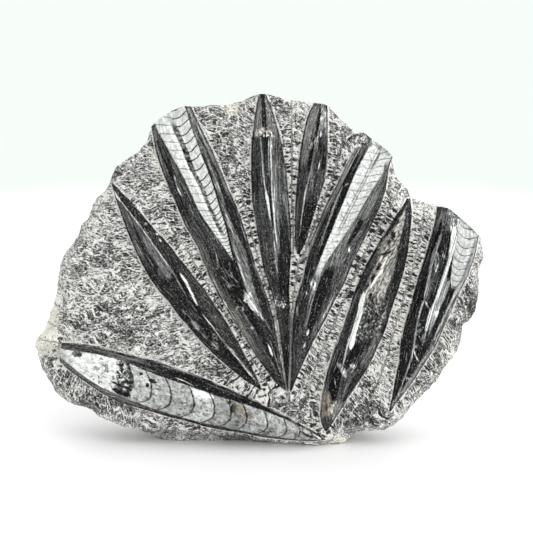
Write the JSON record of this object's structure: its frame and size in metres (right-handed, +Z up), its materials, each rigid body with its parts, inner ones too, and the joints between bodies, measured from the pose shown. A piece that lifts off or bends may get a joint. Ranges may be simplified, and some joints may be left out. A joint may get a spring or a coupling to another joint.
{
  "type": "orthoceras fossil plate",
  "caption": "Upright plate of chiselled grey limestone on a flat cut foot, with polished black straight-shelled fossils fanned over its leaning face.",
  "frame": {"origin": "centre of the bounding box's footprint, on the plane that the plate stands on", "axes": "+Z up, +X to the right along the plate's length as its carved face is seen, -Y out of the carved face"},
  "size_m": [0.3028, 0.0588, 0.2356],
  "materials": {
    "chiselled_matrix": "matte, chiselled",
    "black_fossil": "polished",
    "chambered_fossil": "polished"
  },
  "bodies": {
    "root": {"matrix_slab": "chiselled_matrix", "orthoceras_lower_left": "chambered_fossil", "orthoceras_left": "black_fossil", "orthoceras_chambered_left": "chambered_fossil", "orthoceras_centre": "black_fossil", "orthoceras_short": "black_fossil", "orthoceras_chambered_right": "chambered_fossil", "orthoceras_right": "black_fossil", "orthoceras_far_right": "black_fossil"}
  },
  "joints": []
}
